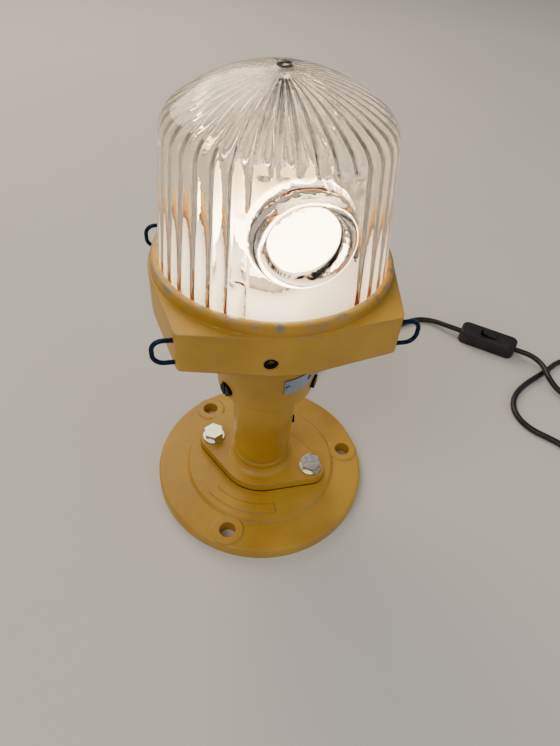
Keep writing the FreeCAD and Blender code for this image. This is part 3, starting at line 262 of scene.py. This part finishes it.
def blank_plate():
    """Anodised aluminium plate, rolled: a blue-grey sheen with fine level lines."""
    material, tree, shader, point = new_material("anodised_plate_aluminium")
    rolled = add(tree, "ShaderNodeMapping", {"Vector": point, "Scale": (1.0, 1.0, 14.0)})
    lines = add(tree, "ShaderNodeTexNoise", {"Vector": rolled, "Scale": 1 / (3 * MM), "Detail": 4.0})
    tone = add(tree, "ShaderNodeMix", {"Factor": lines, "A": linear("#6E7F9A"), "B": linear("#A9B6C8")},
               data_type="RGBA")
    skin = add(tree, "ShaderNodeBump", {"Height": lines, "Distance": 0.02 * MM})
    feed(tree, shader, {"Base Color": tone, "Metallic": 1.0, "Roughness": 0.38, "Normal": skin})
    return material


def moulded_black(name, code, roughness, grain_mm, depth_mm):
    """Black rubber, PVC or ABS with a fine moulded grain and faint dust."""
    material, tree, shader, point = new_material(name)
    grain = add(tree, "ShaderNodeTexNoise", {"Vector": point, "Scale": 1 / (grain_mm * MM),
                                             "Detail": 2.0})
    dust = add(tree, "ShaderNodeTexNoise", {"Vector": point, "Scale": 1 / (14 * MM), "Detail": 5.0})
    tone = add(tree, "ShaderNodeMix", {
        "Factor": add(tree, "ShaderNodeMapRange", {"Value": dust, 1: 0.45, 2: 0.75, 4: 0.5}),
        "A": linear(code), "B": linear("#3A3A3B")}, data_type="RGBA")
    skin = add(tree, "ShaderNodeBump", {"Height": grain, "Distance": depth_mm * MM})
    feed(tree, shader, {"Base Color": tone, "Normal": skin, "Roughness": add(
        tree, "ShaderNodeMapRange", {"Value": dust, 1: 0.3, 2: 0.7, 3: roughness - 0.06,
                                     4: roughness + 0.08})})
    return material


def orange_silicone():
    """Orange-red silicone rubber: matt, with a bloom of paler dust."""
    material, tree, shader, point = new_material("orange_silicone_rubber")
    bloom = add(tree, "ShaderNodeTexNoise", {"Vector": point, "Scale": 1 / (5 * MM), "Detail": 4.0})
    tone = add(tree, "ShaderNodeMix", {"Factor": bloom, "A": linear("#C8360E"), "B": linear("#E4521C")},
               data_type="RGBA")
    skin = add(tree, "ShaderNodeBump", {"Height": bloom, "Distance": 0.05 * MM})
    feed(tree, shader, {"Base Color": tone, "Roughness": 0.55, "Normal": skin})
    return material


def white_enamel():
    """Stove enamel on steel: gloss white with a slight orange-peel and a few specks of dirt."""
    material, tree, shader, point = new_material("white_stove_enamel")
    peel = add(tree, "ShaderNodeTexNoise", {"Vector": point, "Scale": 1 / (1.5 * MM), "Detail": 2.0})
    specks = add(tree, "ShaderNodeTexVoronoi", {"Vector": point, "Scale": 1 / (4 * MM)})
    tone = add(tree, "ShaderNodeMix", {
        "Factor": add(tree, "ShaderNodeMapRange", {"Value": specks, 1: 0.10, 2: 0.05, 4: 0.6}),
        "A": linear("#E9E7E0"), "B": linear("#8B8577")}, data_type="RGBA")
    skin = add(tree, "ShaderNodeBump", {"Height": peel, "Distance": 0.05 * MM, "Strength": 0.5})
    feed(tree, shader, {"Base Color": tone, "Roughness": 0.3, "Normal": skin})
    return material


def glazed_ceramic():
    """Glazed porcelain: warm white, very smooth, with a soft wave in the glaze."""
    material, tree, shader, point = new_material("glazed_porcelain")
    wave = add(tree, "ShaderNodeTexNoise", {"Vector": point, "Scale": 1 / (8 * MM), "Detail": 1.0})
    tone = add(tree, "ShaderNodeMix", {"Factor": wave, "A": linear("#E6E0D2"), "B": linear("#F1ECE0")},
               data_type="RGBA")
    skin = add(tree, "ShaderNodeBump", {"Height": wave, "Distance": 0.15 * MM})
    feed(tree, shader, {"Base Color": tone, "Roughness": 0.14, "Normal": skin})
    return material


def lit_frosted_glass():
    """A frosted bulb that is on: white-hot where the light source is, golden towards its top."""
    material, tree, shader, point = new_material("frosted_glass_lit")
    height = add(tree, "ShaderNodeSeparateXYZ", {"Vector": point}).outputs["Z"]
    low, high = (corner[2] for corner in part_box("bulb_glass"))
    middle = low + 0.55 * (high - low)
    rise = add(tree, "ShaderNodeMapRange", {"Value": height, 1: middle, 2: high - 3 * MM})
    glow = add(tree, "ShaderNodeMix", {"Factor": rise, "A": linear("#FFF0D2"), "B": linear("#FFD38A")},
               data_type="RGBA")
    strength = add(tree, "ShaderNodeMapRange", {"Value": rise, 3: 15.0, 4: 2.2})
    frost = add(tree, "ShaderNodeTexNoise", {"Vector": point, "Scale": 1 / (1.0 * MM), "Detail": 2.0})
    skin = add(tree, "ShaderNodeBump", {"Height": frost, "Distance": 0.02 * MM})
    feed(tree, shader, {"Base Color": linear("#FFF6E6"), "Roughness": 0.45, "Normal": skin,
                        "Emission Color": glow, "Emission Strength": strength})
    return material


def pressed_glass():
    """Clear pressed soda glass: smooth but for a slow wave and a fine ripple. Light shines through it."""
    material, tree, shader, point = new_material("pressed_soda_glass")
    wave = add(tree, "ShaderNodeTexNoise", {"Vector": point, "Scale": 1 / (7 * MM), "Detail": 2.0})
    ripple = add(tree, "ShaderNodeTexNoise", {"Vector": point, "Scale": 1 / (2.2 * MM), "Detail": 2.0})
    skin = add(tree, "ShaderNodeBump", {"Height": wave, "Distance": 0.22 * MM})
    skin = add(tree, "ShaderNodeBump", {"Height": ripple, "Distance": 0.02 * MM, "Normal": skin})
    feed(tree, shader, {"Base Color": linear("#FFF9EC"), "Roughness": 0.015, "IOR": 1.5,
                        "Transmission Weight": 1.0, "Normal": skin})
    see_through = add(tree, "ShaderNodeBsdfTransparent", {"Color": linear("#F8F4EC")})
    blend = add(tree, "ShaderNodeMixShader", {
        0: add(tree, "ShaderNodeLightPath").outputs["Is Shadow Ray"], 1: shader, 2: see_through})
    tree.links.new(blend.outputs[0], tree.nodes["Material Output"].inputs["Surface"])
    return material


# ---- the fluted dome --------------------------------------------------------------------------
# All in millimetres and degrees. The profile's points are (radius, height).
FOOT_H = 6.0
WALL_FOOT = (75.4, 242.5)
WALL_BULGE_FOOT = (73.689, 262.0)   # on the wall's taper, below the bull's-eyes
SHOULDER = (68.6, 320.0)
CROWN_EDGE = (60.2, 333.7)
INNER_WALL_FOOT = (69.4, 242.5)
INNER_SHOULDER = (62.6, 320.0)
INNER_CROWN_EDGE = (56.8, 328.8)
INNER_APEX = (0.0, 345.0)
OUTER_SKIN = 1
INNER_SKIN = 2
RIB_COUNT = 40
RIB_DEPTH = 2.1
STEPS_PER_RIB = 12
RIB_FULL_R = 60.0               # nearer the axis than this the flutes grow shallower
RIB_FADE_LOW_Z = 233.0
RIB_FADE_HIGH_Z = 236.0
CROWN_DISC_R = 8.0              # the flutes end about here, at the crown's plain disc
WINDOW_LEFT_DEG = -112.5        # the window's upright sides lie on cusps between flutes
WINDOW_RIGHT_DEG = -58.5
WINDOW_SIDE_DEG = 0.4
WINDOW_TOP_Z = 323.5
WINDOW_SCALLOP = 3.0            # how far each flute's end dips into the window's top
WINDOW_TOP_SOFT = 0.9
WINDOW_DEPTH = 0.9              # the plain window's depth as a share of a flute's
LENS_Z = 294.0
BULGE_R = 29.0
BULGE_FACE_Y = 81.0
BULGE_ROOT_Y = 67.0
LENS_R = 21.5
LENS_RIM_W = 2.4
LENS_FLOOR_Y = 73.5
LENS_CROWNING = 3.0
LENS_BACK_Y = 60.5              # the lens's back bulges towards the bulb
LENS_BACK_CROWN = 4.5
LENS_BACK_EDGE = 3.0
PRISM_DEG = -117                # the flute beside the window has a flat block
PRISM_HALF_DEG = 4.5
PRISM_SIDE = 0.36               # share of the flute's width that the block takes each way
PRISM_DEPTH = 0.75              # the block's depth as a share of a flute's
PRISM_LOW_Z = 262.0
PRISM_HIGH_Z = 301.0


def straight_points(start, end, count):
    return [(start[0] + (end[0] - start[0]) * i / count, start[1] + (end[1] - start[1]) * i / count)
            for i in range(1, count + 1)]


def arc_points(start, middle, end, count):
    """Points along the arc through three (radius, height) points, after the first."""
    (ax, ay), (bx, by), (cx, cy) = start, middle, end
    doubled = 2 * (ax * (by - cy) + bx * (cy - ay) + cx * (ay - by))
    a2, b2, c2 = ax ** 2 + ay ** 2, bx ** 2 + by ** 2, cx ** 2 + cy ** 2
    ux = (a2 * (by - cy) + b2 * (cy - ay) + c2 * (ay - by)) / doubled
    uy = (a2 * (cx - bx) + b2 * (ax - cx) + c2 * (bx - ax)) / doubled
    radius = math.hypot(ax - ux, ay - uy)
    first = math.atan2(ay - uy, ax - ux)
    sweep = math.atan2(cy - uy, cx - ux) - first
    return [(ux + radius * math.cos(first + sweep * i / count),
             uy + radius * math.sin(first + sweep * i / count)) for i in range(1, count + 1)]


def bull_eye(reach):
    """How far the bull's-eye stands out along its axis, in mm, at a distance from that axis."""
    if reach > LENS_R + LENS_RIM_W:
        share = (reach - LENS_R - LENS_RIM_W) / (BULGE_R - LENS_R - LENS_RIM_W)
        return BULGE_ROOT_Y + (BULGE_FACE_Y - BULGE_ROOT_Y) * math.sqrt(max(0.0, 1 - share ** 2.2))
    if reach > LENS_R:
        return BULGE_FACE_Y - 0.5 * ((LENS_R + LENS_RIM_W - reach) / LENS_RIM_W) ** 2
    floor = LENS_FLOOR_Y + LENS_CROWNING * (1 - (reach / LENS_R) ** 2)
    return floor + (BULGE_FACE_Y - 0.5 - floor) * smoothstep(LENS_R - 2.0, LENS_R, reach)


def press_flutes(vertex):
    """Presses the flutes, the plain windows and the lenses' backs into the dome's inner skin."""
    x, y, z = (value / MM for value in vertex.co)
    radius = math.hypot(x, y)
    bearing = math.degrees(math.atan2(y, x))
    rear = y > 0
    front_bearing = bearing - 180 if rear else bearing
    place = ((front_bearing + 90) * RIB_COUNT / 360 + 0.5) % 1.0
    rib = 1 - (2 * place - 1) ** 2
    depth = RIB_DEPTH * (1 - rib) * min(1.0, radius / RIB_FULL_R)
    depth *= smoothstep(CROWN_DISC_R - 5.0, CROWN_DISC_R + 4.0, radius)
    if abs(front_bearing - PRISM_DEG) < PRISM_HALF_DEG and abs(place - 0.5) < PRISM_SIDE:
        if PRISM_LOW_Z < z < PRISM_HIGH_Z:
            depth = RIB_DEPTH * PRISM_DEPTH
    scallop = WINDOW_TOP_Z - WINDOW_SCALLOP * math.sqrt(max(0.0, rib))
    left, right, side = WINDOW_LEFT_DEG, WINDOW_RIGHT_DEG, WINDOW_SIDE_DEG
    window = (smoothstep(left - side, left + side, front_bearing)
              * smoothstep(right + side, right - side, front_bearing)
              * smoothstep(scallop + WINDOW_TOP_SOFT, scallop - WINDOW_TOP_SOFT, z))
    depth = depth * (1 - window) + RIB_DEPTH * WINDOW_DEPTH * window
    scale = 1 + depth * smoothstep(RIB_FADE_LOW_Z, RIB_FADE_HIGH_Z, z) / max(radius, 1.0)
    lift = depth * smoothstep(1.0, 0.5, radius / INNER_SHOULDER[0])
    x, y = x * scale, y * scale
    off_axis = math.hypot(x, z - LENS_Z)
    back = LENS_BACK_Y + LENS_BACK_CROWN * (off_axis / LENS_R) ** 2
    share = smoothstep(LENS_R + LENS_BACK_EDGE, LENS_R, off_axis)
    y = math.copysign(abs(y) * (1 - share) + back * share, y)
    vertex.co = (x * MM, y * MM, (z + lift) * MM)


def press_bull_eye(vertex):
    """Presses a bull's-eye into the outer skin over each window."""
    x, y, z = (value / MM for value in vertex.co)
    reach = math.hypot(x, z - LENS_Z)
    if reach < BULGE_R:
        out = bull_eye(reach)
        if reach > LENS_R:
            out = max(out, abs(y))
        y = out if y > 0 else -out
    vertex.co = (x * MM, y * MM, z * MM)


def make_dome(material):
    """One closed shell: the foot, a smooth outside with its bull's-eyes and a fluted inside."""
    foot_low, foot_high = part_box("glass_dome")
    foot_r = foot_high[0] / MM
    foot_z = foot_low[2] / MM
    top_z = foot_high[2] / MM
    outer = [(WALL_FOOT[0], foot_z + FOOT_H)]
    outer += straight_points(outer[0], WALL_FOOT, 6)
    outer += straight_points(WALL_FOOT, WALL_BULGE_FOOT, 5)
    outer += straight_points(WALL_BULGE_FOOT, SHOULDER, 50)
    outer += arc_points(SHOULDER, (66.0, 327.7), CROWN_EDGE, 10)
    outer += arc_points(CROWN_EDGE, (30.1, 348.9), (5.5, 353.8), 14)
    nub = [(4.3, 354.0), (4.0, 355.0), (3.2, top_z - 0.2), (1.6, top_z), (0.0, top_z)]
    inner = [INNER_APEX]
    inner += arc_points(INNER_APEX, (28.4, 340.9), INNER_CROWN_EDGE, 24)
    inner += arc_points(INNER_CROWN_EDGE, (60.8, 324.7), INNER_SHOULDER, 8)
    inner += straight_points(INNER_SHOULDER, INNER_WALL_FOOT, 50)
    inner += straight_points(INNER_WALL_FOOT, (INNER_WALL_FOOT[0], foot_z), 2)
    bm = bmesh.new()
    skin = bm.verts.layers.int.new("skin")
    outside = chain(bm, [(r * MM, z * MM) for r, z in outer])
    for vertex in outside[1:]:
        vertex[skin] = OUTER_SKIN
    top = chain(bm, [(r * MM, z * MM) for r, z in nub])
    inside = chain(bm, [(r * MM, z * MM) for r, z in inner])
    for vertex in inside:
        vertex[skin] = INNER_SKIN
    foot = bm.verts.new((foot_r * MM, 0, foot_z * MM))
    ledge = bm.verts.new((foot_r * MM, 0, (foot_z + FOOT_H) * MM))
    for pair in ((outside[-1], top[0]), (inside[-1], foot), (foot, ledge), (ledge, outside[0])):
        bm.edges.new(pair)
    spin_full(bm, RIB_COUNT * STEPS_PER_RIB)
    for vertex in bm.verts:
        if vertex[skin] == INNER_SKIN:
            press_flutes(vertex)
        if vertex[skin] == OUTER_SKIN:
            press_bull_eye(vertex)
    dome = new_piece("fluted_dome", mesh_from(bm, "fluted_dome"), material, "dome")
    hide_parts("glass_dome")


# ---- mains lead -------------------------------------------------------------------------------
CORD_DIAMETER = 6.2 * MM
LEAD_ROUTE = [
    (33.91, 54.27, 4.6),
    (65.7, 105.15, 4.6),
    (110.0, 149.0, 3.2),
    (162.0, 171.0, 3.2),
    (205.0, 184.5, 3.2),
    (234.0, 195.0, 3.2),
    (254.5, 187.0, 4.5),
    (264.42, 171.35, 8.5),
    (278.43, 160.04, 8.5),
    (330.57, 117.96, 8.5),
    (346.0, 105.5, 8.9),
    (350.2, 85.8, 10.2),
    (344.5, 62.5, 10.2),
    (350.0, 44.0, 6.0),
    (370.0, 28.0, 3.2),
    (398.0, 26.0, 3.2),
    (420.0, 44.0, 3.2),
    (424.0, 72.0, 3.2),
    (408.0, 94.0, 3.2),
    (382.0, 98.5, 3.2),
    (353.0, 82.0, 3.2),
    (318.0, 66.5, 3.2),
    (295.0, 50.0, 3.2),
    (283.5, 28.0, 3.2),
    (288.5, 4.0, 3.2),
    (308.0, -15.0, 3.2),
    (320.5, -32.5, 3.2),
]
PLUG_ROUTE = [
    (326.0, -72.0, 9.4),
    (333.0, -91.0, 7.0),
    (344.0, -107.5, 7.0),
]
COIL_CENTRE = (362.0, -47.0)
COIL_POINTS_PER_TURN = 24
# Each turn's radius and height over the floor, by the share of the turn that is done. Turns one to
# three lie side by side on the floor. The third climbs, and the fourth lies in the grooves on top.
COIL_TURNS = [
    [(0.0, 40.2, 3.2), (0.83, 40.2, 3.2), (1.0, 34.0, 3.2)],
    [(0.0, 34.0, 3.2), (0.83, 34.0, 3.2), (1.0, 27.8, 3.2)],
    [(0.0, 27.8, 3.2), (0.4, 27.8, 3.2), (0.6, 28.8, 6.6), (0.8, 30.9, 8.6), (0.915, 30.9, 9.5),
     (1.0, 30.9, 8.6)],
    [(0.0, 30.9, 8.6), (0.17, 34.0, 9.6), (0.35, 37.1, 8.6), (0.8, 37.1, 8.6), (0.915, 37.1, 9.5),
     (1.0, 37.1, 8.6)],
]


def coil_points():
    """The coil's turns, anticlockwise from its left side, as points of the lead's own spline."""
    points = []
    for turn in COIL_TURNS:
        for step in range(COIL_POINTS_PER_TURN):
            share = step / COIL_POINTS_PER_TURN
            before, after = next(pair for pair in zip(turn, turn[1:]) if share < pair[1][0])
            way = (share - before[0]) / (after[0] - before[0])
            radius = before[1] + (after[1] - before[1]) * way
            height = before[2] + (after[2] - before[2]) * way
            angle = math.pi + 2 * math.pi * share
            points.append((COIL_CENTRE[0] + radius * math.cos(angle),
                           COIL_CENTRE[1] + radius * math.sin(angle), height))
    return points


def make_lead(material):
    coil_end = (COIL_CENTRE[0] - 37.1, COIL_CENTRE[1] - 3.0, 8.8)
    route = LEAD_ROUTE + coil_points() + [coil_end] + PLUG_ROUTE
    curve = bpy.data.curves.new("mains_lead", "CURVE")
    curve.dimensions = "3D"
    curve.bevel_depth = CORD_DIAMETER / 2
    curve.bevel_resolution = 5
    curve.use_fill_caps = True
    curve.resolution_u = 6
    spline = curve.splines.new("NURBS")
    spline.points.add(len(route) - 1)
    for point, place in zip(spline.points, route):
        point.co = (*(value * MM for value in place), 1.0)
    spline.order_u = 3
    spline.use_endpoint_u = True
    lead = new_piece("mains_lead", curve, material, "base")
    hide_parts("cord_to_switch", "cord_from_switch", "cord_coil", "cord_to_plug")


# ---- the model --------------------------------------------------------------------------------
def paint(material, *names):
    for name in names:
        node = nodes[name]
        node.data.materials.clear()
        node.data.materials.append(material)


make_camera()
black_pvc = moulded_black("black_pvc_sheath", "#0C0C0D", 0.42, 0.8, 0.02)
make_lead(black_pvc)
make_floor()
make_studio()

cast_paint = yellow_enamel("yellow_enamel_on_castings", False)
ring_paint = yellow_enamel("yellow_enamel_on_frame", True)
paint(cast_paint, "base_plate", "stem", "head_housing")
paint(ring_paint, "glass_frame")
paint(moulded_black("black_nitrile_rubber", "#0A0A0A", 0.6, 1.2, 0.04), "flange_gasket",
      "bowl_gasket", "cord_bush")
paint(orange_silicone(), "glass_gasket", "foot_gasket")
paint(bright_zinc(), "flange_bolts", "flange_washers", "lamp_bracket", "bracket_screws",
      "reflector_pillars")
paint(plain_metal("black_oxide_steel", "#0D0D0F", "#26262A", 0.35, 0.5, 1.5), "stem_screw",
      "collar_screws", "lock_screw")
paint(plain_metal("blued_spring_steel", "#10151F", "#2A3A5A", 0.22, 0.36, 4.0), "clip_front_left",
      "clip_front_right", "clip_rear_left", "clip_rear_right")
paint(plain_metal("turned_aluminium", "#9A9A98", "#C2C2BF", 0.3, 0.45, 2.0), "retainer_ring")
paint(blank_plate(), "nameplate", "nameplate_rivets")
paint(white_enamel(), "reflector")
paint(glazed_ceramic(), "lampholder")
paint(plain_metal("nickel_plated_brass", "#A8A395", "#CFCABB", 0.18, 0.3, 2.0), "bulb_cap")
paint(lit_frosted_glass(), "bulb_glass")
paint(black_pvc, "lamp_lead")
paint(moulded_black("black_abs", "#0B0B0C", 0.38, 0.5, 0.02), "switch_base", "switch_cover",
      "switch_rocker", "plug_body")
paint(plain_metal("nickel_plated_pins", "#B8B2A0", "#D8D3C4", 0.15, 0.28, 2.0), "plug_pins")
make_dome(pressed_glass())
